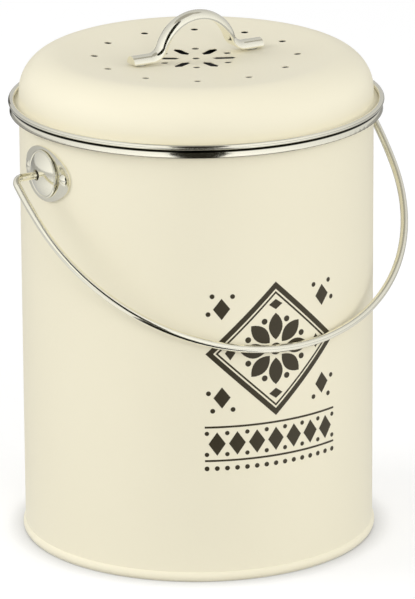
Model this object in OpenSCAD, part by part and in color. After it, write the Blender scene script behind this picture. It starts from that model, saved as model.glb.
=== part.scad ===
// Compost caddy: a round sheet-metal pail with a wire bail and a lift-off domed lid.
// Millimetres. +Z is up, the pail stands on Z = 0 with its middle on the Z axis.
// X runs through the two ears that carry the bail; -Y is the front, where the bail hangs.

/* [Pail] */
// Outside diameter of the pail's wall
pail_d = 175; // [150:1:210]
// Height of the rim's top above the table
pail_h = 220; // [170:1:260]
// Thickness of the wall's sheet
wall_t = 0.8; // [0.6:0.1:1.2]
// Height of the rolled bead at the foot of the wall
bead_h = 4.8; // [3:0.1:6]
// How far the foot bead stands out from the wall
bead_out = 1.1; // [0.5:0.1:1.6]
// Height of the bottom panel's underside above the table
base_lift = 3; // [2:0.1:6]
// Thickness of the bottom panel's sheet
base_t = 0.8; // [0.5:0.1:1.2]
// Width of the wall's lapped side seam, at the back
seam_w = 5; // [3:0.5:8]
// How far the side seam stands out from the wall
seam_out = 0.35; // [0.2:0.05:0.6]

/* [Rim ring] */
// Height of the rolled band round the mouth
rim_band_h = 3.4; // [3:0.1:5]
// How far the band stands out from the wall
rim_out = 4.7; // [4:0.1:6]
// Radius of the band's gently rounded face
rim_face_r = 4.5; // [4:0.1:8]
// Radius of the band's tight lower corner
rim_corner_r = 0.3; // [0.2:0.1:1.2]
// Thickness of the ring's sheet
rim_t = 0.8; // [0.5:0.1:1]
// Depth of the ring's skirt inside the mouth
rim_skirt_h = 8; // [5:0.5:12]

/* [Ears] */
// Depth of the bail's pivot below the rim's top
ear_drop = 23.1; // [20:0.1:40]
// Half width of an ear's oval plate
ear_half_w = 20.2; // [19.4:0.1:24]
// Half height of an ear's oval plate
ear_half_h = 13.6; // [12.8:0.1:15]
// Radius of the plate's rounded ends
ear_end_r = 9.6; // [8:0.1:11]
// Thickness of an ear's sheet
ear_t = 0.9; // [0.6:0.1:1.2]
// Radius of the domed cup in the middle of an ear
cup_r = 11.4; // [9:0.1:12]
// Height of the straight step under the cup's dome
cup_step = 0.45; // [0.2:0.05:1]
// Height of the cup's dome above its foot
cup_rise = 3.9; // [3.6:0.1:7]
// Radius of the rounded bead round the cup's foot
cup_bead_r = 0.6; // [0.5:0.05:1]
// Diameter of the hole that the bail passes through
ear_hole_d = 5.4; // [4.4:0.1:6]
// Distance of each rivet from the middle of its ear
rivet_x = 15.6; // [15.4:0.1:18]
// Diameter of a rivet's head
rivet_head_d = 6; // [5:0.1:6.4]
// Height of a rivet's head
rivet_head_h = 1.5; // [1:0.1:2.4]
// Diameter of a rivet's shank
rivet_d = 3.5; // [2.5:0.1:4]
// Diameter of a rivet's closed end inside the pail
rivet_tail_d = 5.6; // [4.5:0.1:7]
// Thickness of a rivet's closed end
rivet_tail_h = 1.1; // [0.8:0.1:1.6]

/* [Bail] */
// Diameter of the bail's wire
wire_d = 3.7; // [3:0.1:4.2]
// How far each side of the bail stands off the pail's wall, at the pivot
bail_stand = 17.5; // [14:0.5:24]
// Radius of the tight bend beside each ear, to the wire's middle
bail_bend_r = 4.2; // [3:0.1:6]
// Radius of the gentle curve down each side of the bail
bail_side_r = 220; // [160:5:400]
// Angle that the gentle side curve turns through
bail_side_a = 7.9; // [5:0.1:10]
// Diameter of the upset head inside an ear
wire_head_d = 7; // [6.4:0.1:8]
// Thickness of the upset head
wire_head_t = 1.2; // [0.8:0.1:1.6]

/* [Lid] */
// Turn of the lid on the pail
lid_turn = -3; // [-30:1:30]
// How far the lid ring's curled edge stands out beyond the pail's wall
flange_out = 5.3; // [4.5:0.1:6.5]
// Thickness of the lid ring's sheet
flange_t = 0.6; // [0.5:0.1:1.2]
// Thickness of the ring's curled edge
curl_d = 2.8; // [2:0.1:3]
// How far the curled edge's underside lies above that of the ring's plate
curl_lift = 0.4; // [0.3:0.05:0.5]
// Length of the curled edge's overhang past the end of the ring's plate
curl_over = 1.8; // [1.5:0.1:2]
// Depth of the lid's skirt below the rim's top
plug_h = 12; // [8:0.5:20]
// Height of the lid ring's upstand inside the dome
upstand_h = 4; // [2:0.5:8]
// Height of the dome's crown above the lid ring's plate
dome_h = 24.45; // [22:0.05:36]
// Radius of the sweep from the dome's wall into its foot flange
sweep_r = 2; // [1:0.1:2.2]
// Radius of the dome's rounded shoulder
shoulder_r = 18.8; // [12:0.2:20]
// Depth of the lid top's shallow dish below the crown
dish_drop = 3.3; // [1.5:0.1:4]
// Thickness of the dome's sheet
dome_t = 0.4; // [0.3:0.1:1]

/* [Vents] */
// Diameter of a round vent
vent_d = 3.8; // [2:0.1:4]
// Radius of the outer ring of round vents
vent_ring_r = 50; // [44:0.5:54]
// Number of vents in the outer ring
vent_count = 12; // [6:2:16]
// Length of a pointed vent
petal_l = 12.8; // [8:0.2:13]
// Width of a pointed vent
petal_w = 4.5; // [2:0.1:5]
// Length of each of its points
petal_point = 2.4; // [1.5:0.1:4]
// Radius of the middle of the pointed vents
petal_ring_r = 14; // [13:0.2:15]
// Radius of the inner ring of round vents
inner_ring_r = 18; // [17:0.2:20]
// Turn of the whole pattern of vents from the handle's line
vent_turn = 1.2; // [-5:0.1:5]

/* [Lid handle] */
// Width of the handle's half-round bar
bar_w = 8; // [6:0.1:9]
// Thickness of the half-round bar
bar_t = 4; // [3:0.1:4.4]
// Length of the handle from tip to tip
handle_l = 73; // [70:0.5:84]
// Height of the handle above the underside of its feet
handle_h = 22.7; // [21:0.1:32]
// Radius of the handle's arch, to the middle of the bar
arch_r = 21; // [18:0.1:22]
// Radius of the curve from the arch into each foot, to the middle of the bar
foot_bend_r = 7; // [5:0.1:8]
// Distance of each stud from the handle's middle
stud_x = 31.5; // [30:0.1:33]
// Diameter of the studs under the handle's feet
stud_d = 4; // [3:0.1:5]
// Diameter of the collar on each stud that holds the foot off the lid
collar_d = 5.6; // [5:0.1:6.6]
// Height of the handle's feet above the lid, at the studs
foot_lift = 1.2; // [0.6:0.1:2]

/* [Filter] */
// Outside diameter of the filter holder
holder_d = 120; // [112:1:130]
// Thickness of the holder's wall
holder_t = 2; // [1.6:0.1:2.4]
// Height of the holder's wall below the dome
holder_h = 22; // [20.5:0.5:26]
// Width of the holder's two fixing tabs
tab_w = 12; // [10:0.5:16]
// Thickness of the fixing tabs
tab_t = 2.4; // [1.8:0.1:3]
// Thickness of the charcoal filter
filter_t = 7.6; // [5:0.2:8]
// Thickness of the cover's plate
cover_t = 2; // [1.6:0.1:2.6]
// Width of a curved slot in the cover
slot_w = 5; // [3:0.5:7]
// Distance from one ring of slots to the next
slot_pitch = 11; // [9:0.5:14]
// Width of the spokes between slots
spoke_w = 6; // [4:0.5:8]
// Depth of the grip rib under the cover
grip_h = 5; // [3:0.5:8]
// Thickness of the grip rib
grip_t = 3; // [2:0.1:4]
// Angle that the cover turns through to free its lugs
twist_a = 20; // [16:1:26]

/* [Hidden] */

// Facet counts: round bodies, small hardware, and the very large circle of the dish.
fn_body = 180;
fn_small = 48;
fn_dish = 1440;

// Clearances
lap_gap = 0.05;      // between sheets and shanks that are pressed together
lid_play = 0.5;      // round the lid's skirt, inside the rim ring
seat_gap = 0.1;      // under the lid's flange
foot_gap = 0.02;     // under the studs' collars
holder_gap = 0.1;    // between the filter holder and the dome
bail_gap = 0.3;      // between the hanging bail and the pail's wall
head_gap = 0.3;      // between the bail's head and the ear's cup
filter_play = 0.4;   // round the filter, the cover and its lugs
slot_gap = 0.3;      // above and below the cover's lugs in their slots
slot_end_a = 0.8;    // at the ends of a lug's slot, in degrees
entry_end_a = 0.5;   // at the sides of a lug's way in, in degrees
lug_short = 0.6;     // between a lug's end and the holder's outside

// Lengths that only build the shapes
far = 400;           // longer than any piece
through = 5;         // how far a cut reaches past what it cuts
fuse = 0.01;         // how far two stretches of one sheet lap
edge_inset = 0.03;   // how far an ear's long curves lie inside its round ends
weld_grow = 0.02;    // how far the join between two bent stretches swells past them
weld_t = 0.6;        // length of such a join in the handle's bar

// Pail
wall_r = pail_d / 2;
wall_in = wall_r - wall_t;
pivot_z = pail_h - ear_drop;

// Rim ring
rim_in = wall_in - lap_gap - rim_t;
rim_under_z = pail_h - rim_band_h;
wall_top = pail_h - rim_t - lap_gap;

// Ears, measured outward from the wall's surface
ear_face = lap_gap + ear_t;
cup_foot = ear_face + cup_step;
cup_apex = cup_foot + cup_rise;
cup_sphere_r = (cup_r * cup_r + cup_rise * cup_rise) / (2 * cup_rise);
rivet_a = asin(rivet_x / (wall_r + ear_face));
ear_end_x = ear_half_w - ear_end_r;
ear_side_r = (pow(ear_end_x, 2) + pow(ear_half_h, 2) - pow(ear_end_r, 2)) / (2 * (ear_half_h - ear_end_r));

// Bail, in its own plane: u along the pivot's axis, v away from it
wire_r = wire_d / 2;
bail_half = wall_r + bail_stand;
side_x = bail_half - bail_side_r;
bow_x = side_x + bail_side_r * cos(bail_side_a);
bow_r = bow_x / cos(bail_side_a);
bow_v = bail_side_r * sin(bail_side_a) - bow_r * sin(bail_side_a);
bail_drop = bow_v + bow_r;
bail_rest_a = acos((wall_r + wire_r + bail_gap) / bail_drop);
bend_x = side_x + sqrt(pow(bail_side_r - bail_bend_r, 2) - pow(bail_bend_r, 2));
bend_a = asin(bail_bend_r / (bail_side_r - bail_bend_r));
wire_head_r = wire_head_d / 2;
cup_inner_r = cup_sphere_r - ear_t;
head_top = cup_apex - cup_sphere_r + sqrt(pow(cup_inner_r, 2) - pow(wire_head_r, 2)) - head_gap;

// Lid ring
plate_z = pail_h + seat_gap;
plate_top = plate_z + flange_t;
flange_r = wall_r + flange_out;
plug_r = rim_in - lid_play;

// Dome: the wall, a round shoulder and a wide shallow dish that meets the shoulder smoothly
crown_z = plate_top + dome_h;
shoulder_x = wall_r - shoulder_r;
shoulder_z = crown_z - shoulder_r;
dish_z = crown_z - dish_drop;
dish_rise = dish_z - shoulder_z;
dish_r = (pow(shoulder_x, 2) + pow(dish_rise, 2) - pow(shoulder_r, 2)) / (2 * dish_drop);
function dish_at(x) = dish_z + dish_r - sqrt(dish_r * dish_r - x * x);
function under_dish_at(x) = dish_z + dish_r - sqrt(pow(dish_r + dome_t, 2) - x * x);

// Lid handle
foot_tip = handle_l / 2;
foot_z = dish_at(stud_x) + foot_lift;
bar_mid = bar_t / 2;
arch_z = foot_z + handle_h - bar_mid - arch_r;
foot_bend_z = foot_z + bar_mid + foot_bend_r;
leg_a = asin((foot_bend_z - arch_z) / (arch_r + foot_bend_r));
foot_bend_x = (arch_r + foot_bend_r) * cos(leg_a);
bar_r = (pow(bar_w / 2, 2) + bar_t * bar_t) / (2 * bar_t);

// Studs, washers and nuts
stud_r = stud_d / 2;
nut_w = 1.75 * stud_d;
nut_h = 0.8 * stud_d;
washer_d = 2.25 * stud_d;
washer_t = 0.2 * stud_d;
stud_clear = 0.2;

// Filter holder, filter and cover
holder_r = holder_d / 2;
holder_in = holder_r - holder_t;
holder_top = under_dish_at(holder_in) - holder_gap;
holder_foot = holder_top - holder_h;
tab_end = stud_x - washer_d / 2 - tab_t;
tab_top = under_dish_at(tab_end) - lap_gap;
washer_z = tab_top - tab_t - washer_t;
nut_z = washer_z - nut_h;
stud_foot = nut_z - 0.25 * stud_d;
filter_top = stud_foot - filter_play;
filter_foot = filter_top - filter_t;
cover_z = filter_foot - filter_play - cover_t;
cover_r = holder_in - filter_play;
lug_a = 10;
lug_reach = holder_r - lug_short;
lug_count = 3;
spoke_a = 60;

// A plate that lies in the YZ plane and is extruded along +X
module along_x(length) {
    rotate([90, 0, 90]) linear_extrude(length) children();
}

// A solid turned about the X axis from a profile of (radius, distance along X)
module turned_x() {
    rotate([90, 0, 90]) rotate_extrude($fn = fn_small * 2) children();
}

// ---------------------------------------------------------------- pail

module foot_bead_profile() {
    half_h = bead_h / 2;
    bulge_r = (half_h * half_h + bead_out * bead_out) / (2 * bead_out);
    intersection() {
        translate([wall_r + bead_out - bulge_r, half_h]) circle(bulge_r, $fn = fn_small);
        translate([wall_in, 0]) square([wall_t + bead_out, bead_h]);
    }
}

module pail_wall() {
    color("cornsilk") difference() {
        union() {
            rotate_extrude($fn = fn_body) {
                translate([wall_in, 0]) square([wall_t, wall_top]);
                foot_bead_profile();
            }
            side_seam();
        }
        for (side = [0, 180]) rivet_places(side) rivet_bore();
    }
}

// The lap of the wall's sheet, welded and coated over
module side_seam() {
    seam_h = rim_under_z - lap_gap - bead_h;
    intersection() {
        translate([0, 0, bead_h]) difference() {
            cylinder(r = wall_r + seam_out, h = seam_h, $fn = fn_body);
            translate([0, 0, -through])
                cylinder(r = wall_r - wall_t / 2, h = seam_h + 2 * through, $fn = fn_body);
        }
        translate([-seam_w / 2, 0, 0]) cube([seam_w, far, far]);
    }
}

module pail_base() {
    base_r = wall_in - lap_gap;
    skirt_foot = base_lift / 10;
    color("cornsilk") rotate_extrude($fn = fn_body) {
        translate([0, base_lift]) square([base_r, base_t]);
        translate([base_r - base_t, skirt_foot]) square([base_t, base_lift + base_t - skirt_foot]);
    }
}

// The band outside the wall: a gently rounded face that ends in a tight corner below
module rim_band_profile() {
    corner_x = wall_r + rim_out - rim_corner_r - fuse;
    corner_z = rim_under_z + rim_corner_r;
    intersection() {
        translate([wall_r + rim_out - rim_face_r, corner_z]) circle(rim_face_r, $fn = fn_small * 2);
        translate([wall_r + lap_gap, corner_z]) square([rim_out, pail_h - corner_z]);
    }
    translate([corner_x, corner_z]) circle(rim_corner_r, $fn = fn_small);
    translate([wall_r + lap_gap, rim_under_z + fuse]) square([corner_x - wall_r - lap_gap, rim_corner_r]);
}

module rim_ring() {
    color("silver") rotate_extrude($fn = fn_body) {
        rim_band_profile();
        translate([rim_in + rim_t, pail_h - rim_t]) square([wall_r + rim_t - rim_in, rim_t]);
        translate([rim_in + rim_t, pail_h - rim_t]) intersection() {
            circle(rim_t, $fn = fn_small);
            translate([-rim_t, 0]) square(rim_t);
        }
        translate([rim_in, pail_h - rim_skirt_h]) square([rim_t, rim_skirt_h - rim_t]);
    }
}

// ---------------------------------------------------------------- ears

// Puts its children at an ear's pivot, X pointing outward; side is 0 (right) or 180 (left)
module ear_place(side) {
    rotate([0, 0, side]) translate([0, 0, pivot_z]) children();
}

// Puts its children at the two rivets of an ear
module rivet_places(side) {
    ear_place(side) for (turn = [-rivet_a, rivet_a]) rotate([0, 0, turn]) children();
}

module rivet_bore() {
    bore_r = rivet_d / 2 + lap_gap;
    bore_l = wall_t + ear_face + 2 * through;
    translate([wall_in - through, 0, 0]) rotate([0, 90, 0]) cylinder(r = bore_r, h = bore_l, $fn = fn_small);
}

// An oval: two long curves, and two round ends that meet them smoothly
module ear_outline() {
    side_y = ear_side_r - ear_half_h;
    meet_x = ear_end_x * ear_side_r / (ear_side_r - ear_end_r);
    intersection() {
        translate([0, -side_y]) circle(ear_side_r - edge_inset, $fn = fn_body);
        translate([0, side_y]) circle(ear_side_r - edge_inset, $fn = fn_body);
        translate([-meet_x, -ear_half_h]) square([2 * meet_x, 2 * ear_half_h]);
    }
    for (side = [-1, 1]) translate([side * ear_end_x, 0]) circle(ear_end_r, $fn = fn_small * 2);
}

// The cup's body as (radius, height above the wall), drawn in from its outside by inset
module cup_profile(inset) {
    intersection() {
        translate([0, cup_apex - cup_sphere_r]) circle(cup_sphere_r - inset, $fn = fn_small * 2);
        translate([0, cup_foot]) square([cup_r - inset, cup_rise]);
    }
    translate([0, -through]) square([cup_r - inset, cup_foot + through + fuse]);
}

module ear_plate() {
    difference() {
        union() {
            intersection() {
                translate([0, 0, -pail_h / 2]) cylinder(r = wall_r + ear_face, h = pail_h, $fn = fn_body);
                along_x(far) ear_outline();
            }
            translate([wall_r, 0, 0]) turned_x() {
                cup_profile(0);
                translate([cup_r, cup_foot]) circle(cup_bead_r, $fn = fn_small);
            }
        }
        translate([0, 0, -pail_h / 2]) cylinder(r = wall_r + lap_gap, h = pail_h, $fn = fn_body);
        translate([wall_r, 0, 0]) turned_x() cup_profile(ear_t);
        translate([wall_r, 0, 0]) rotate([0, 90, 0]) cylinder(d = ear_hole_d, h = far, $fn = fn_small);
        for (turn = [-rivet_a, rivet_a]) rotate([0, 0, turn]) rivet_bore();
    }
}

module ear(side) {
    color("silver") ear_place(side) ear_plate();
}

module ear_rivet() {
    cap_r = (pow(rivet_head_d / 2, 2) + pow(rivet_head_h, 2)) / (2 * rivet_head_h);
    head_x = wall_r + ear_face;
    translate([head_x, 0, 0]) turned_x() intersection() {
        translate([0, rivet_head_h - cap_r]) circle(cap_r, $fn = fn_small);
        square([rivet_head_d / 2, rivet_head_h]);
    }
    tail_x = wall_in - lap_gap - rivet_tail_h;
    translate([tail_x, 0, 0]) rotate([0, 90, 0]) cylinder(d = rivet_tail_d, h = rivet_tail_h, $fn = fn_small);
    translate([tail_x, 0, 0]) rotate([0, 90, 0]) cylinder(d = rivet_d, h = head_x - tail_x, $fn = fn_small);
}

module ear_rivets(side) {
    color("gainsboro") rivet_places(side) ear_rivet();
}

// ---------------------------------------------------------------- bail

// A curved stretch of wire about the Z axis
module wire_arc(radius, from, turn) {
    rotate([0, 0, from]) rotate_extrude(angle = turn, $fn = fn_body * 2)
        translate([radius, 0]) circle(wire_r, $fn = fn_small);
}

module wire_join() {
    sphere(wire_r + weld_grow, $fn = fn_small);
}

// One side of the bail, in the XY plane, with v along +Y
module bail_side_wire() {
    head_x = wall_r + head_top - wire_head_t;
    translate([head_x, 0, 0]) rotate([0, 90, 0]) cylinder(d = wire_head_d, h = wire_head_t, $fn = fn_small);
    translate([head_x, 0, 0]) rotate([0, 90, 0]) cylinder(r = wire_r, h = bend_x - head_x, $fn = fn_small);
    translate([bend_x, bail_bend_r, 0]) wire_arc(bail_bend_r, -90, 90 + bend_a);
    translate([side_x, 0, 0]) wire_arc(bail_side_r, bend_a, bail_side_a - bend_a);
    translate([bend_x, 0, 0]) wire_join();
    for (turn = [bend_a, bail_side_a])
        translate([side_x + bail_side_r * cos(turn), bail_side_r * sin(turn), 0]) wire_join();
}

module bail_wire() {
    color("silver") translate([0, 0, pivot_z]) rotate([180 + bail_rest_a, 0, 0]) {
        bail_side_wire();
        mirror([1, 0, 0]) bail_side_wire();
        translate([0, bow_v, 0]) wire_arc(bow_r, bail_side_a, 180 - 2 * bail_side_a);
    }
}

// ---------------------------------------------------------------- lid

module lid_place() {
    rotate([0, 0, lid_turn]) children();
}

// The filled dome as (radius, height), drawn in from its outside by inset
module dome_profile(inset) {
    dish_middle = [0, dish_z + dish_r];
    shoulder_middle = [shoulder_x, shoulder_z];
    toward = (dish_middle - shoulder_middle) / norm(dish_middle - shoulder_middle);
    meet = shoulder_middle + (shoulder_r - inset) * toward;
    translate([0, plate_top]) square([wall_r - inset, shoulder_z - plate_top]);
    intersection() {
        translate(shoulder_middle) circle(shoulder_r - inset, $fn = fn_small * 2);
        translate([meet[0], shoulder_z - 1]) square([far, far]);
    }
    difference() {
        translate([0, shoulder_z - 1]) square([meet[0], meet[1] - shoulder_z + 1]);
        translate(dish_middle) circle(dish_r + inset, $fn = fn_dish);
    }
}

// The same for the dome's foot, which sweeps out from the wall into a narrow flange
module dome_foot_profile(inset) {
    sweep_x = wall_r + sweep_r + fuse;
    sweep_z = plate_top + dome_t + sweep_r;
    flange_end = inset > 0 ? sweep_x : flange_r - curl_d - lap_gap;
    difference() {
        translate([wall_r - sweep_r, plate_top - inset])
            square([flange_end - wall_r + sweep_r, dome_t + sweep_r + inset]);
        translate([sweep_x, sweep_z]) circle(sweep_r + inset, $fn = fn_small * 2);
        translate([sweep_x, plate_top + dome_t + fuse]) square([far, far]);
    }
}

// A slot with a point at each end
module petal() {
    tip = petal_l / 2;
    neck = tip - petal_point;
    half_w = petal_w / 2;
    polygon([[tip, 0], [neck, half_w], [-neck, half_w], [-tip, 0], [-neck, -half_w], [neck, -half_w]]);
}

module vents() {
    for (turn = [0 : 360 / vent_count : 359])
        rotate([0, 0, turn]) translate([vent_ring_r, 0]) circle(d = vent_d, $fn = fn_small);
    for (turn = [0 : 60 : 359]) rotate([0, 0, turn]) {
        rotate([0, 0, 30]) translate([petal_ring_r, 0]) petal();
        translate([inner_ring_r, 0]) circle(d = vent_d, $fn = fn_small);
    }
    circle(d = vent_d, $fn = fn_small);
}

module lid_dome() {
    color("cornsilk") lid_place() difference() {
        rotate_extrude($fn = fn_body) difference() {
            union() {
                dome_profile(0);
                dome_foot_profile(0);
            }
            dome_profile(dome_t);
            dome_foot_profile(dome_t - fuse);
            translate([0, plate_top - through]) square([wall_r - dome_t, 2 * through]);
        }
        translate([0, 0, shoulder_z]) linear_extrude(far) rotate(vent_turn) vents();
        stud_places() cylinder(r = stud_r + stud_clear, h = far, $fn = fn_small);
    }
}

module lid_ring() {
    curl_r = curl_d / 2;
    upstand_r = wall_r - dome_t - lap_gap;
    plug_foot = pail_h - plug_h;
    color("silver") lid_place() rotate_extrude($fn = fn_body) {
        translate([flange_r - curl_r, plate_z + curl_lift + curl_r]) circle(curl_r, $fn = fn_small);
        translate([plug_r - flange_t, plate_z]) square([flange_r - curl_over - plug_r + flange_t, flange_t]);
        translate([plug_r - flange_t, plug_foot]) square([flange_t, plate_z - plug_foot + fuse]);
        translate([upstand_r - flange_t, plate_top - fuse]) square([flange_t, upstand_h]);
    }
}

// ---------------------------------------------------------------- lid handle

// The half-round bar: flat side on Y = 0, round side towards +Y
module bar_section(grow = 0) {
    intersection() {
        translate([0, bar_t - bar_r]) circle(bar_r + grow, $fn = fn_small);
        translate([-bar_w, -grow]) square([2 * bar_w, bar_t + 2 * grow]);
    }
}

// A bent stretch of the bar in the XZ plane; out is 1 where the round side faces outward
module bar_arc(radius, from, turn, out) {
    rotate([90, 0, 0]) rotate([0, 0, from]) rotate_extrude(angle = turn, $fn = fn_body)
        translate([radius - out * bar_mid, 0]) rotate([0, 0, -90 * out]) bar_section();
}

module handle_side() {
    translate([foot_bend_x, 0, foot_bend_z]) bar_arc(foot_bend_r, 180 + leg_a, 90 - leg_a, -1);
    translate([foot_bend_x, 0, foot_z]) along_x(foot_tip - foot_bend_x) bar_section();
    translate([foot_bend_x - weld_t / 2, 0, foot_z]) along_x(weld_t) bar_section(weld_grow);
    translate([0, 0, arch_z]) rotate([0, -leg_a, 0]) translate([arch_r - bar_mid, 0, -weld_t / 2])
        linear_extrude(weld_t) rotate([0, 0, -90]) bar_section(weld_grow);
}

module lid_handle() {
    color("silver") lid_place() {
        handle_side();
        mirror([1, 0, 0]) handle_side();
        translate([0, 0, arch_z]) bar_arc(arch_r, leg_a, 180 - 2 * leg_a, 1);
    }
}

module stud_places() {
    for (side = [-1, 1]) translate([side * stud_x, 0, 0]) children();
}

module handle_studs() {
    collar_foot = dish_at(stud_x + collar_d / 2) + foot_gap;
    color("gainsboro") lid_place() stud_places() {
        translate([0, 0, stud_foot]) cylinder(r = stud_r, h = foot_z - stud_foot, $fn = fn_small);
        translate([0, 0, collar_foot]) cylinder(d = collar_d, h = foot_z - collar_foot, $fn = fn_small);
    }
}

module handle_washers() {
    color("gainsboro") lid_place() stud_places() translate([0, 0, washer_z]) difference() {
        cylinder(d = washer_d, h = washer_t, $fn = fn_small);
        translate([0, 0, -through]) cylinder(r = stud_r + stud_clear, h = far, $fn = fn_small);
    }
}

module handle_nuts() {
    color("gainsboro") lid_place() stud_places() translate([0, 0, nut_z]) difference() {
        cylinder(d = nut_w / cos(30), h = nut_h, $fn = 6);
        translate([0, 0, -through]) cylinder(r = stud_r + lap_gap, h = far, $fn = fn_small);
    }
}

// ---------------------------------------------------------------- filter

module lug_places() {
    for (turn = [0 : 360 / lug_count : 359]) rotate([0, 0, turn + 90]) children();
}

// A wedge about the Z axis between two angles and two heights
module wedge(from, to, foot, top) {
    translate([0, 0, foot]) linear_extrude(top - foot)
        polygon([[0, 0], far * [cos(from), sin(from)], far * [cos(to), sin(to)]]);
}

module filter_holder() {
    slot_top = cover_z + cover_t + slot_gap;
    half_slot = lug_a / 2 + slot_end_a;
    half_entry = lug_a / 2 + entry_end_a;
    color("dimgray") lid_place() difference() {
        union() {
            translate([0, 0, holder_foot]) rotate_extrude($fn = fn_body)
                translate([holder_in, 0]) square([holder_t, holder_h]);
            for (side = [0, 180]) rotate([0, 0, side]) intersection() {
                translate([tab_end, -tab_w / 2, tab_top - tab_t])
                    cube([holder_in + holder_t / 2 - tab_end, tab_w, tab_t]);
                cylinder(r = holder_in + holder_t / 2, h = far, $fn = fn_body);
            }
        }
        stud_places() cylinder(r = stud_r + stud_clear, h = far, $fn = fn_small);
        lug_places() {
            wedge(-half_slot, twist_a + half_slot, cover_z - slot_gap, slot_top);
            wedge(twist_a - half_entry, twist_a + half_entry, holder_foot - through, cover_z);
        }
    }
}

module charcoal_filter() {
    color("black") lid_place() translate([0, 0, filter_foot])
        cylinder(r = cover_r, h = filter_t, $fn = fn_body);
}

// Rings of curved slots that let the air through the cover
module cover_slots() {
    for (ring_r = [cover_r - slot_pitch / 2 : -slot_pitch : slot_pitch]) {
        half_spoke_a = asin(spoke_w / 2 / ring_r);
        for (turn = [0 : spoke_a : 359]) rotate([0, 0, turn + half_spoke_a])
            rotate_extrude(angle = spoke_a - 2 * half_spoke_a, $fn = fn_body)
                translate([ring_r - slot_w / 2, -through]) square([slot_w, cover_t + 2 * through]);
    }
}

// A rib across the cover's underside, under a pair of spokes
module grip_rib(depth) {
    rib_l = 2 * (cover_r - grip_t);
    translate([-rib_l / 2, -grip_t / 2, -depth]) cube([rib_l, grip_t, depth + cover_t / 2]);
}

module filter_cover() {
    color("dimgray") lid_place() translate([0, 0, cover_z]) {
        difference() {
            cylinder(r = cover_r, h = cover_t, $fn = fn_body);
            cover_slots();
        }
        lug_places() rotate([0, 0, -lug_a / 2]) rotate_extrude(angle = lug_a, $fn = fn_body)
            translate([cover_r - fuse, 0]) square([lug_reach - cover_r + fuse, cover_t]);
        grip_rib(grip_h);
        for (turn = [spoke_a, 2 * spoke_a]) rotate([0, 0, turn]) grip_rib(grip_h / 2);
    }
}

pail_wall();
pail_base();
rim_ring();
ear(180);  // ear_left
ear(0);  // ear_right
ear_rivets(180);  // ear_rivets_left
ear_rivets(0);  // ear_rivets_right
bail_wire();
lid_dome();
lid_ring();
lid_handle();
handle_studs();
handle_washers();
handle_nuts();
filter_holder();
charcoal_filter();
filter_cover();
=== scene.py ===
"""Looks of the compost caddy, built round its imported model.

Metres, in the model's own frame: +Z up, the pail's foot on Z = 0, X through the ears, -Y the front.
"""
import math

import bmesh
import bpy
from mathutils import Matrix, Vector


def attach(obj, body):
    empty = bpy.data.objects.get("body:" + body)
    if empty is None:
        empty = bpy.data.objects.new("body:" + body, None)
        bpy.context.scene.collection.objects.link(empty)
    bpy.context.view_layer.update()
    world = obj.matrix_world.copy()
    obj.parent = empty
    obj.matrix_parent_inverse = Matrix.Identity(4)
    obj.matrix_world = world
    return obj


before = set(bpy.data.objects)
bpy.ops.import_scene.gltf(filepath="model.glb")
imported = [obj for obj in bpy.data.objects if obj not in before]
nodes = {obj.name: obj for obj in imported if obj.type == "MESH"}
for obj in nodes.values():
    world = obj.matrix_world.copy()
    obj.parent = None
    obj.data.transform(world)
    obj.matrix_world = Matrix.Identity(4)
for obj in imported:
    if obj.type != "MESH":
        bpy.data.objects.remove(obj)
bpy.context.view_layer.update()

# ---------------------------------------------------------------- camera

# The photograph's camera, fitted to the pail's round edges
IMAGE_HEIGHT = 599
FOCAL_PIXELS = 5248.8
SENSOR_MM = 36
CAMERA_DISTANCE = 2.5
CAMERA_HEIGHT = 0.9015
CAMERA_AZIMUTH = math.radians(-32.6)
CAMERA_PITCH = math.radians(17.414)
CAMERA_YAW = math.radians(0.1138)
CAMERA_ROLL = math.radians(-0.3425)


def new_object(name, data):
    """An object in the scene, round the given data."""
    made = bpy.data.objects.new(name, data)
    bpy.context.scene.collection.objects.link(made)
    return made


def make_camera():
    data = bpy.data.cameras.new("photo_camera")
    data.sensor_width = SENSOR_MM
    data.lens = FOCAL_PIXELS * SENSOR_MM / IMAGE_HEIGHT
    data.clip_start = 0.05
    data.clip_end = 100
    camera = new_object("photo_camera", data)
    aim = Matrix.Rotation(CAMERA_AZIMUTH - CAMERA_YAW, 4, "Z")
    aim @= Matrix.Rotation(math.pi / 2 - CAMERA_PITCH, 4, "X")
    aim @= Matrix.Rotation(CAMERA_ROLL, 4, "Z")
    place = toward_camera(CAMERA_DISTANCE, CAMERA_HEIGHT)
    camera.matrix_world = Matrix.Translation(place) @ aim
    bpy.context.scene.camera = camera


def toward_camera(distance, height, turn=0.0):
    """A point that far from the pail's axis, turned from the camera's side about Z."""
    angle = CAMERA_AZIMUTH + turn
    return Vector((math.sin(angle) * distance, -math.cos(angle) * distance, height))


# ---------------------------------------------------------------- node helpers


def new_material(name):
    """A node material: returns it with its tree and its Principled shader."""
    material = bpy.data.materials.new(name)
    material.use_nodes = True
    tree = material.node_tree
    return material, tree, tree.nodes["Principled BSDF"]


def add(tree, kind, inputs=None, **properties):
    """A new node. An input that is a socket is linked, and any other is set."""
    node = tree.nodes.new(kind)
    for name, value in properties.items():
        setattr(node, name, value)
    for key, value in (inputs or {}).items():
        if isinstance(value, bpy.types.NodeSocket):
            tree.links.new(value, node.inputs[key])
        else:
            node.inputs[key].default_value = value
    return node


def math_node(tree, operation, *values):
    return add(tree, "ShaderNodeMath", dict(enumerate(values)), operation=operation).outputs[0]


def map_range(tree, **inputs):
    """A value mapped from one range to another. Each range is 0 to 1 where it isn't given."""
    inputs = {key.replace("_", " "): value for key, value in inputs.items()}
    return add(tree, "ShaderNodeMapRange", inputs).outputs["Result"]


def spread(tree, value, low, high):
    """A 0 to 1 value mapped to the range low to high."""
    return map_range(tree, Value=value, To_Min=low, To_Max=high)


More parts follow.
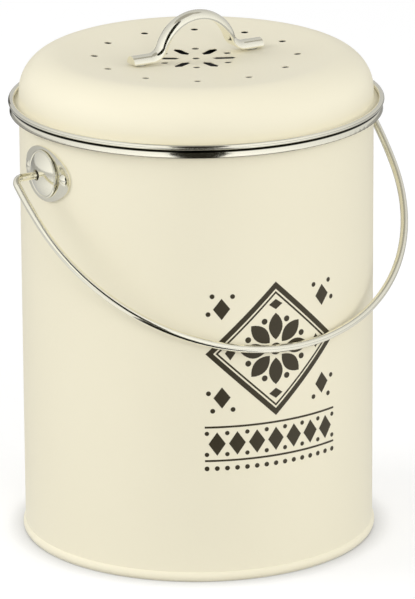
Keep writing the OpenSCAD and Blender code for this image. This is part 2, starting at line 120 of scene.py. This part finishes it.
def ramp(tree, value, start, end):
    """0 up to start and 1 from end on; the other way round if end is the smaller."""
    return map_range(tree, Value=value, From_Min=start, From_Max=end)


def all_of(tree, *masks):
    """The product of masks and strengths."""
    mask = masks[0]
    for other in masks[1:]:
        mask = math_node(tree, "MULTIPLY", mask, other)
    return mask


def noise(tree, coords, scale, detail=2.0, roughness=0.5):
    inputs = {"Vector": coords, "Scale": scale, "Detail": detail, "Roughness": roughness}
    return add(tree, "ShaderNodeTexNoise", inputs).outputs["Fac"]


def blend_colours(tree, fac, first, second):
    # The mix node's colour sockets have the same names as its others, so they go by number
    return add(tree, "ShaderNodeMix", {0: fac, 6: first, 7: second}, data_type="RGBA").outputs[2]


def ambient_occlusion(tree, distance, samples):
    """1 in the open and less where something is near."""
    inputs = {"Distance": distance}
    return add(tree, "ShaderNodeAmbientOcclusion", inputs, samples=samples).outputs["AO"]


def vector_node(tree, operation, *values):
    return add(tree, "ShaderNodeVectorMath", dict(enumerate(values)), operation=operation)


def bump(tree, height, strength, distance):
    inputs = {"Height": height, "Strength": strength, "Distance": distance}
    return add(tree, "ShaderNodeBump", inputs).outputs["Normal"]


def object_coords(tree):
    return add(tree, "ShaderNodeTexCoord").outputs["Object"]


def object_parts(tree):
    return add(tree, "ShaderNodeSeparateXYZ", {0: object_coords(tree)}).outputs


def distance_from_axis(tree, x, y):
    squares = [math_node(tree, "MULTIPLY", part, part) for part in (x, y)]
    return math_node(tree, "SQRT", math_node(tree, "ADD", *squares))


def lathe_coords(tree, along, across):
    """Coordinates stretched round the Z axis, so that a noise reads as lines left by turning."""
    x, y, z = object_parts(tree)
    angle = math_node(tree, "ARCTAN2", y, x)
    radius = distance_from_axis(tree, x, y)
    inputs = {
        "X": math_node(tree, "MULTIPLY", angle, along),
        "Y": math_node(tree, "MULTIPLY", radius, across),
        "Z": math_node(tree, "MULTIPLY", z, across),
    }
    return add(tree, "ShaderNodeCombineXYZ", inputs).outputs[0]


# ---------------------------------------------------------------- materials

# Colours, in linear RGBA
CREAM = (0.815, 0.765, 0.590, 1)
PALE_CREAM = (0.85, 0.80, 0.625, 1)
CREAM_SPECK = (0.66, 0.60, 0.44, 1)
METAL = (0.95, 0.92, 0.78, 1)
DULL_METAL = (0.89, 0.865, 0.73, 1)
# Painted shade: the near-black of the metal's tightest crevices and of the seam between the lid's
# ring and the rim, then the fainter dark along the rim band's lower edge
PAINTED_CREVICE_SHADE = (0.03, 0.028, 0.02, 1)
PAINTED_EDGE_SHADE = (0.36, 0.33, 0.26, 1)
ZINC = (0.52, 0.53, 0.52, 1)
PALE_ZINC = (0.66, 0.66, 0.63, 1)
PLASTIC = (0.018, 0.018, 0.02, 1)
PALE_PLASTIC = (0.03, 0.03, 0.032, 1)
FELT = (0.012, 0.012, 0.012, 1)
PALE_FELT = (0.05, 0.05, 0.05, 1)
INK = (0.026, 0.019, 0.006, 1)
THIN_INK = (0.046, 0.035, 0.013, 1)

# Where the painted shade on the rings starts and where it is full, in metres: its distance from the
# axis, the seam's foot and top, and the rim band's lower edge
OUTER_SIDE = (0.0903, 0.0905)
SEAM_FOOT = (0.21920, 0.21940)
SEAM_TOP = (0.22075, 0.22050)
BAND_EDGE = (0.2172, 0.2169)
# How near the metal is to other metal where its crevice is painted dark as shade
CREVICE = 0.001


def cream_coat():
    """Cream powder coat over sheet metal: an even colour, a soft gloss and a fine orange peel."""
    material, tree, shader = new_material("cream_powder_coat")
    coords = object_coords(tree)
    patches = noise(tree, coords, scale=14, detail=2)
    grain = noise(tree, coords, scale=2600, detail=1)
    peel = noise(tree, coords, scale=520, detail=2, roughness=0.4)
    gloss = noise(tree, coords, scale=900, detail=2)
    base = blend_colours(tree, patches, CREAM, PALE_CREAM)
    speckled = blend_colours(tree, spread(tree, grain, 0, 0.10), base, CREAM_SPECK)
    tree.links.new(speckled, shader.inputs["Base Color"])
    tree.links.new(spread(tree, gloss, 0.36, 0.50), shader.inputs["Roughness"])
    shader.inputs["Specular IOR Level"].default_value = 0.35
    tree.links.new(bump(tree, peel, strength=0.10, distance=0.0004), shader.inputs["Normal"])
    return material


def painted_crevice_shade(tree, clean):
    """Painted shade in the tightest crevices, where ambient occlusion finds other metal near."""
    open_to = ambient_occlusion(tree, CREVICE, samples=8)
    return blend_colours(tree, ramp(tree, open_to, 0.1, 0.5), PAINTED_CREVICE_SHADE, clean)


def painted_ring_shade(tree, clean):
    """Painted shade: a dark line at the seam between the lid's ring and the rim, and a fainter one
    along the rim band's lower edge.
    """
    x, y, z = object_parts(tree)
    outer = ramp(tree, distance_from_axis(tree, x, y), *OUTER_SIDE)
    seam = all_of(tree, outer, ramp(tree, z, *SEAM_FOOT), ramp(tree, z, *SEAM_TOP))
    edge = all_of(tree, outer, ramp(tree, z, *BAND_EDGE))
    return blend_colours(tree, seam, blend_colours(tree, edge, clean, PAINTED_EDGE_SHADE), PAINTED_CREVICE_SHADE)


def bright_metal(name, coords_of, painted_shade_of):
    """Polished plated steel with faint working lines, a little haze, and shade painted dark into
    its crevices.
    """
    material, tree, shader = new_material(name)
    lines = noise(tree, coords_of(tree), scale=1.0, detail=3, roughness=0.6)
    haze = noise(tree, object_coords(tree), scale=60, detail=3)
    clean = blend_colours(tree, haze, METAL, DULL_METAL)
    tree.links.new(painted_shade_of(tree, clean), shader.inputs["Base Color"])
    shader.inputs["Metallic"].default_value = 1.0
    rough = math_node(tree, "ADD", spread(tree, haze, 0.07, 0.13), spread(tree, lines, 0, 0.06))
    tree.links.new(rough, shader.inputs["Roughness"])
    tree.links.new(bump(tree, lines, strength=0.06, distance=0.0002), shader.inputs["Normal"])
    return material


def wire_coords(tree):
    """Coordinates at the scale of a drawn wire's fine lines."""
    return vector_node(tree, "MULTIPLY", object_coords(tree), (900, 900, 900)).outputs[0]


def turned_coords(tree):
    """Coordinates at the scale of a turned ring's fine lines."""
    return lathe_coords(tree, along=6, across=2600)


def zinc_steel():
    """Zinc-plated hardware: a grey satin metal with a crystal mottle."""
    material, tree, shader = new_material("zinc_plated_steel")
    coords = object_coords(tree)
    mottle = noise(tree, coords, scale=700, detail=3)
    grain = noise(tree, coords, scale=2400, detail=2)
    tree.links.new(blend_colours(tree, mottle, ZINC, PALE_ZINC), shader.inputs["Base Color"])
    shader.inputs["Metallic"].default_value = 1.0
    tree.links.new(spread(tree, mottle, 0.28, 0.42), shader.inputs["Roughness"])
    tree.links.new(bump(tree, grain, strength=0.1, distance=0.0002), shader.inputs["Normal"])
    return material


def black_plastic():
    """Moulded black plastic with a fine spark-eroded grain."""
    material, tree, shader = new_material("black_moulded_plastic")
    coords = object_coords(tree)
    patches = noise(tree, coords, scale=40, detail=2)
    grain = noise(tree, coords, scale=2200, detail=2)
    tree.links.new(blend_colours(tree, patches, PLASTIC, PALE_PLASTIC), shader.inputs["Base Color"])
    tree.links.new(spread(tree, grain, 0.42, 0.62), shader.inputs["Roughness"])
    tree.links.new(bump(tree, grain, strength=0.25, distance=0.0002), shader.inputs["Normal"])
    return material


def charcoal_felt():
    """Black filter felt: tangled fibres with a few paler ones."""
    material, tree, shader = new_material("charcoal_felt")
    coords = object_coords(tree)
    stretched = vector_node(tree, "MULTIPLY", coords, (1, 0.12, 1)).outputs[0]
    fibres = all_of(tree, noise(tree, stretched, scale=3200, detail=3),
                    noise(tree, coords, scale=900, detail=3))
    base = blend_colours(tree, spread(tree, fibres, 0, 1.6), FELT, PALE_FELT)
    tree.links.new(base, shader.inputs["Base Color"])
    shader.inputs["Roughness"].default_value = 0.95
    shader.inputs["Sheen Weight"].default_value = 0.3
    tree.links.new(bump(tree, fibres, strength=0.8, distance=0.0005), shader.inputs["Normal"])
    return material


def print_ink():
    """Dark olive-brown screen ink: slightly uneven in its colour and its gloss."""
    material, tree, shader = new_material("olive_brown_ink")
    thin = noise(tree, object_coords(tree), scale=1500, detail=3, roughness=0.6)
    tree.links.new(blend_colours(tree, thin, INK, THIN_INK), shader.inputs["Base Color"])
    tree.links.new(spread(tree, thin, 0.38, 0.6), shader.inputs["Roughness"])
    tree.links.new(bump(tree, thin, strength=0.12, distance=0.0002), shader.inputs["Normal"])
    return material


# ---------------------------------------------------------------- studio

# The sky that lights the pail: its strength at the horizon and overhead, and the part of that
# which is left behind the pail
SKY_HORIZON = 1.72
SKY_ZENITH = 0.36
SKY_BEHIND = 0.88
# The sky that reflections see
MIRROR_HORIZON = 1.14
MIRROR_ZENITH = 1.0
MIRROR_BEHIND = 0.50

FLOOR_SIZE = 30
FLOOR_COLOUR = (0.62, 0.62, 0.62, 1)
# The same for the light that bounces off it on to the pail
BOUNCE_COLOUR = (0.44, 0.44, 0.44, 1)
# What the camera sees added to the floor's own light, so that it is white in the open
FLOOR_GLOW = 0.42
# How far the soft shadow at the pail's foot reaches, and how open its dark and its light ends are
CONTACT = 0.02
CONTACT_DARK = 0.35
CONTACT_LIGHT = 0.85
# The floor that reflections see: its strength in front of the pail and behind it
MIRROR_FLOOR_FRONT = 1.04
MIRROR_FLOOR_BEHIND = 0.48
# It fades to the given part of that from the first to the second of these distances
FADE_NEAR = 0.35
FADE_FAR = 1.3
FADE_TO = 0.6

# What the bright metal reflects to show its dark and its grey lines
DARK = (0.010, 0.009, 0.004, 1)
GREY = (0.40, 0.39, 0.36, 1)
# What the lights and the cards are turned to: the pail's axis below its rim
AIM = Vector((0, 0, 0.2))
# How many corners an oval card has
CARD_CORNERS = 48
# How high a card lies over the floor
CARD_LIFT = 0.001


def reflected(tree, path):
    """1 for the rays that mirror or pass through a surface, and 0 for others."""
    kinds = path.outputs["Is Glossy Ray"], path.outputs["Is Transmission Ray"]
    return math_node(tree, "MAXIMUM", *kinds)


def toward_front(tree, direction, behind, front):
    """A strength that changes with a direction, from the pail's far side to the camera's side."""
    facing = vector_node(tree, "DOT_PRODUCT", direction, toward_camera(1, 0)).outputs["Value"]
    return map_range(tree, Value=facing, From_Min=-1, To_Min=behind, To_Max=front)


def emission(tree, **inputs):
    return add(tree, "ShaderNodeEmission", inputs).outputs[0]


def lit_floor(tree, shader, camera_ray):
    """The floor as it is lit, with a glow for the camera that fades at the pail's foot."""
    shader.inputs["Roughness"].default_value = 0.9
    shader.inputs["Specular IOR Level"].default_value = 0.0
    colour = blend_colours(tree, camera_ray, BOUNCE_COLOUR, FLOOR_COLOUR)
    tree.links.new(colour, shader.inputs["Base Color"])
    near_foot = ambient_occlusion(tree, CONTACT, samples=16)
    shown = all_of(tree, camera_ray, ramp(tree, near_foot, CONTACT_DARK, CONTACT_LIGHT), FLOOR_GLOW)
    inputs = {0: shader.outputs[0], 1: emission(tree, Strength=shown)}
    return add(tree, "ShaderNodeAddShader", inputs).outputs[0]


def mirrored_floor(tree):
    """The floor that reflections see: it fades with distance and behind the pail."""
    place = object_coords(tree)
    radius = vector_node(tree, "LENGTH", place).outputs["Value"]
    fading = map_range(tree, Value=radius, From_Min=FADE_NEAR, From_Max=FADE_FAR,
                       To_Min=1, To_Max=FADE_TO)
    aside = vector_node(tree, "NORMALIZE", place).outputs[0]
    strength = toward_front(tree, aside, MIRROR_FLOOR_BEHIND, MIRROR_FLOOR_FRONT)
    return emission(tree, Strength=all_of(tree, strength, fading))


def make_floor():
    """A pale floor that is white to the camera where nothing shades it."""
    bpy.ops.mesh.primitive_plane_add(size=FLOOR_SIZE)
    floor = bpy.context.object
    floor.name = "floor"
    material, tree, shader = new_material("pale_floor")
    path = add(tree, "ShaderNodeLightPath")
    lit = lit_floor(tree, shader, path.outputs["Is Camera Ray"])
    inputs = {0: reflected(tree, path), 1: lit, 2: mirrored_floor(tree)}
    surface = add(tree, "ShaderNodeMixShader", inputs).outputs[0]
    tree.links.new(surface, tree.nodes["Material Output"].inputs["Surface"])
    floor.data.materials.append(material)


def sky(tree, direction, horizon, zenith, behind):
    """A strength that changes from the horizon to the zenith, and fades to the far side."""
    height = add(tree, "ShaderNodeSeparateXYZ", {0: direction}).outputs["Z"]
    lift = spread(tree, math_node(tree, "ABSOLUTE", height), horizon, zenith)
    return math_node(tree, "MULTIPLY", lift, toward_front(tree, direction, behind, 1))


def make_world():
    """White to the camera. Its light and its reflections fade behind the pail."""
    world = bpy.data.worlds.new("studio")
    bpy.context.scene.world = world
    world.use_nodes = True
    tree = world.node_tree
    direction = add(tree, "ShaderNodeTexCoord").outputs["Generated"]
    path = add(tree, "ShaderNodeLightPath")
    light = sky(tree, direction, SKY_HORIZON, SKY_ZENITH, SKY_BEHIND)
    mirror = sky(tree, direction, MIRROR_HORIZON, MIRROR_ZENITH, MIRROR_BEHIND)
    shown = spread(tree, reflected(tree, path), light, mirror)
    strength = spread(tree, path.outputs["Is Camera Ray"], shown, 1.0)
    tree.links.new(strength, tree.nodes["Background"].inputs["Strength"])
    tree.nodes["Background"].inputs["Color"].default_value = (1, 1, 1, 1)


def make_softbox(name, turn, distance, height, width, tall, watts):
    """A large soft light that reflections don't show."""
    data = bpy.data.lights.new(name, "AREA")
    data.shape = "RECTANGLE"
    data.size = width
    data.size_y = tall
    data.energy = watts
    light = new_object(name, data)
    light.location = toward_camera(distance, height, math.radians(turn))
    light.rotation_euler = (AIM - light.location).to_track_quat("-Z", "Y").to_euler()
    light.visible_glossy = False


def make_card(name, colour, turn, lift, distance, width, tall):
    """An oval card, turned and lifted round the pail."""
    turn, lift = math.radians(turn), math.radians(lift)
    away = toward_camera(math.cos(lift), math.sin(lift), turn)
    side = Vector((away.y, -away.x, 0)).normalized()
    up = side.cross(away)
    # The corners lie outside the oval, and the sides touch it
    reach = 1 / math.cos(math.pi / CARD_CORNERS)
    points = []
    for index in range(CARD_CORNERS):
        angle = 2 * math.pi * (index + 0.5) / CARD_CORNERS
        across = side * (math.sin(angle) * reach * width / 2)
        points.append(AIM + away * distance + across + up * (math.cos(angle) * reach * tall / 2))
    add_card(name, colour, points)


def add_card(name, colour, points):
    """A card that only reflections see, as in a product studio."""
    mesh = bpy.data.meshes.new(name)
    mesh.from_pydata(points, [], [range(len(points))])
    card = new_object(name, mesh)
    material, tree, _ = new_material(name)
    glow = emission(tree, Color=colour)
    tree.links.new(glow, tree.nodes["Material Output"].inputs["Surface"])
    mesh.materials.append(material)
    for ray in ("camera", "diffuse", "shadow", "transmission", "volume_scatter"):
        setattr(card, "visible_" + ray, False)


def make_floor_card(name, colour, near, far, width):
    """A strip on the floor in front of the pail."""
    side = Vector((math.cos(CAMERA_AZIMUTH), math.sin(CAMERA_AZIMUTH), 0)) * (width / 2)
    low, high = toward_camera(near, CARD_LIFT), toward_camera(far, CARD_LIFT)
    add_card(name, colour, [low - side, low + side, high + side, high - side])


# ---------------------------------------------------------------- print

# Where the print's middle is, from the front, and the wall's radius, in metres
PRINT_TURN = math.radians(-7)
PRINT_RADIUS = 0.0875
# How far the ink stands out of the wall and how far it reaches into it
INK_OUT = 0.00006
INK_IN = -0.0001
# The strips that it is cut into, to bend round the wall, and what part of one the cuts are moved
# by, to miss the shapes' corners
STRIP = 0.0015
STRIP_SHIFT = 0.37
MM = 1 / 1000

# The print's measures, in millimetres: heights over the table and distances from its middle
ROSETTE_HEIGHT = 117
PETALS = 8
BORDER_HEIGHT = 71
BORDER_LENGTH = 72
BORDER_STEP = 10


def ring(points):
    """The faces of one closed outline."""
    return points, [list(range(len(points)))]


def regular(x, y, radius_x, radius_y, count=32, turn=0.0):
    return ring([(x + radius_x * math.cos(turn + 2 * math.pi * k / count),
                  y + radius_y * math.sin(turn + 2 * math.pi * k / count)) for k in range(count)])


def lozenge(x, y, half_w, half_h):
    return regular(x, y, half_w, half_h, 4)


def lozenge_frame(x, y, half_w, half_h, line):
    """A lozenge's outline with a line of even width."""
    slope = math.hypot(half_w, half_h)
    inner_w, inner_h = half_w - line * slope / half_h, half_h - line * slope / half_w
    outer, inner = lozenge(x, y, half_w, half_h)[0], lozenge(x, y, inner_w, inner_h)[0]
    return outer + inner, [[k, (k + 1) % 4, (k + 1) % 4 + 4, k + 4] for k in range(4)]


def rule(x, y, length, line):
    return ring([(x - length / 2, y - line / 2), (x + length / 2, y - line / 2),
                 (x + length / 2, y + line / 2), (x - length / 2, y + line / 2)])


def dot(x, y, radius):
    return regular(x, y, radius, radius, 20)


def pointed_petal(x, y, near, far, width, turn, steps=9):
    """A petal between two arcs, lying along a ray from (x, y)."""
    points = []
    for side in (1, -1):
        for k in range(steps):
            along = k / steps if side > 0 else 1 - k / steps
            r = near + (far - near) * along
            across = side * width / 2 * math.sin(math.pi * along) ** 0.8
            points.append((x + r * math.cos(turn) - across * math.sin(turn),
                           y + r * math.sin(turn) + across * math.cos(turn)))
    return ring(points[::-1])


def rosette():
    """A rosette in a double lozenge."""
    shapes = [lozenge_frame(0, ROSETTE_HEIGHT, 35.5, 34, line=2.6),
              lozenge_frame(0, ROSETTE_HEIGHT, 30.6, 29.2, line=0.9),
              regular(0, ROSETTE_HEIGHT, 3, 3)]
    for k in range(PETALS):
        turn = 2 * math.pi * k / PETALS
        shapes.append(pointed_petal(0, ROSETTE_HEIGHT, near=4.6, far=18.2, width=7.4, turn=turn))
        between = turn + math.pi / PETALS
        x, y = 15.6 * math.cos(between), ROSETTE_HEIGHT + 15.6 * math.sin(between)
        shapes.append(regular(x, y, 1.5, 1.5, 24))
    return shapes


def corner_ornaments():
    """Lozenges in the double lozenge's corners, and others with dots outside its sides."""
    shapes = []
    for side in (-1, 1):
        shapes.append(lozenge(side * 23.4, ROSETTE_HEIGHT, 2.6, 3.6))
        shapes.append(lozenge(0, ROSETTE_HEIGHT + side * 22.6, 3.6, 2.6))
        for lift in (-1, 1):
            x, y = side * 27.5, ROSETTE_HEIGHT + lift * 22.5
            shapes += [lozenge(x, y, 4.2, 5.4),
                       dot(x + side * 6.6, y - lift * 2.4, 1.2),
                       dot(x - side * 5.4, y + lift * 6.2, 1.2),
                       dot(x + side * 4.6, y + lift * 6.6, 1.2)]
    return shapes


def border():
    """A row of lozenges and dots between two lines, over a row of dots."""
    shapes = [rule(0, 79.6, BORDER_LENGTH, line=1.0), rule(0, 62.4, BORDER_LENGTH, line=1.0)]
    for k in range(-3, 4):
        shapes.append(lozenge(BORDER_STEP * k, BORDER_HEIGHT, 4.2, 6))
    for k in range(-4, 4):
        shapes += [dot(BORDER_STEP * (k + 0.5), BORDER_HEIGHT + rise, 1.1) for rise in (5.4, -5.4)]
    for k in range(-7, 8):
        shapes.append(dot(BORDER_STEP * k / 2, 58.4, 1.2))
    return shapes


def flat_ink():
    """The stencil as thin closed solids on a flat wall."""
    bm = bmesh.new()
    for points, faces in rosette() + corner_ornaments() + border():
        front, back = ([bm.verts.new((x * MM, depth, y * MM)) for x, y in points]
                       for depth in (INK_OUT, INK_IN))
        edges = {(a, b) for face in faces for a, b in zip(face, face[1:] + face[:1])}
        for face in faces:
            bm.faces.new([front[k] for k in face])
            bm.faces.new([back[k] for k in reversed(face)])
        # An edge that only one face has is on the outline
        for a, b in edges:
            if (b, a) not in edges:
                bm.faces.new([front[b], front[a], back[a], back[b]])
    return bm


def cut_and_wrap(bm):
    """Cuts the ink into narrow strips and bends it round the wall."""
    cuts = int(max(abs(v.co.x) for v in bm.verts) / STRIP)
    for k in range(-cuts, cuts + 1):
        bmesh.ops.bisect_plane(bm, geom=bm.verts[:] + bm.edges[:] + bm.faces[:], dist=1e-7,
                               plane_co=((k + STRIP_SHIFT) * STRIP, 0, 0), plane_no=(1, 0, 0))
    for v in bm.verts:
        angle, radius = PRINT_TURN + v.co.x / PRINT_RADIUS, PRINT_RADIUS + v.co.y
        v.co = (radius * math.sin(angle), -radius * math.cos(angle), v.co.z)


def make_print(material):
    """A folk stencil of a rosette in a lozenge over a border, printed on the wall."""
    bm = flat_ink()
    cut_and_wrap(bm)
    bmesh.ops.triangulate(bm, faces=bm.faces[:])
    bmesh.ops.recalc_face_normals(bm, faces=bm.faces[:])
    mesh = bpy.data.meshes.new("printed_stencil")
    bm.to_mesh(mesh)
    bm.free()
    mesh.materials.append(material)
    piece = new_object("printed_stencil", mesh)
    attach(piece, "pail")


# ---------------------------------------------------------------- build

make_camera()
make_world()
make_floor()

make_softbox("softbox_left", turn=-88, distance=2.2, height=1.5, width=1.3, tall=1.3, watts=20)
make_softbox("softbox_right", turn=85, distance=2.2, height=1.0, width=1.3, tall=1.3, watts=8)
make_softbox("key_light", turn=12, distance=2.2, height=0.9, width=0.7, tall=0.7, watts=10.5)

make_card("camera_gap", DARK, turn=1.5, lift=27, distance=2.0, width=1.18, tall=3.3)
make_card("ceiling", GREY, turn=0, lift=90, distance=2.3, width=1.9, tall=1.9)
make_card("ceiling_gap", GREY, turn=110, lift=63, distance=2.2, width=0.9, tall=0.5)
make_card("back_gap", DARK, turn=205, lift=0, distance=0.84, width=0.16, tall=0.4)
make_floor_card("floor_gap", DARK, near=0.13, far=1.1, width=0.22)

cream = cream_coat()
# Both bright metals carry painted shade: the rings at their seam and band edge, the wires in their
# crevices
ring_metal = bright_metal("bright_turned_metal", turned_coords, painted_ring_shade)
wire_metal = bright_metal("bright_drawn_metal", wire_coords, painted_crevice_shade)
zinc = zinc_steel()
plastic = black_plastic()
felt = charcoal_felt()

FINISHES = {
    cream: ["pail_wall", "pail_base", "lid_dome"],
    ring_metal: ["rim_ring", "lid_ring"],
    wire_metal: ["ear_left", "ear_right", "ear_rivets_left", "ear_rivets_right", "bail_wire",
                 "lid_handle"],
    zinc: ["handle_studs", "handle_washers", "handle_nuts"],
    plastic: ["filter_holder", "filter_cover"],
    felt: ["charcoal_filter"],
}
make_print(print_ink())
for finish, names in FINISHES.items():
    for name in names:
        nodes[name].data.materials.clear()
        nodes[name].data.materials.append(finish)

bpy.context.scene.view_settings.view_transform = "Standard"
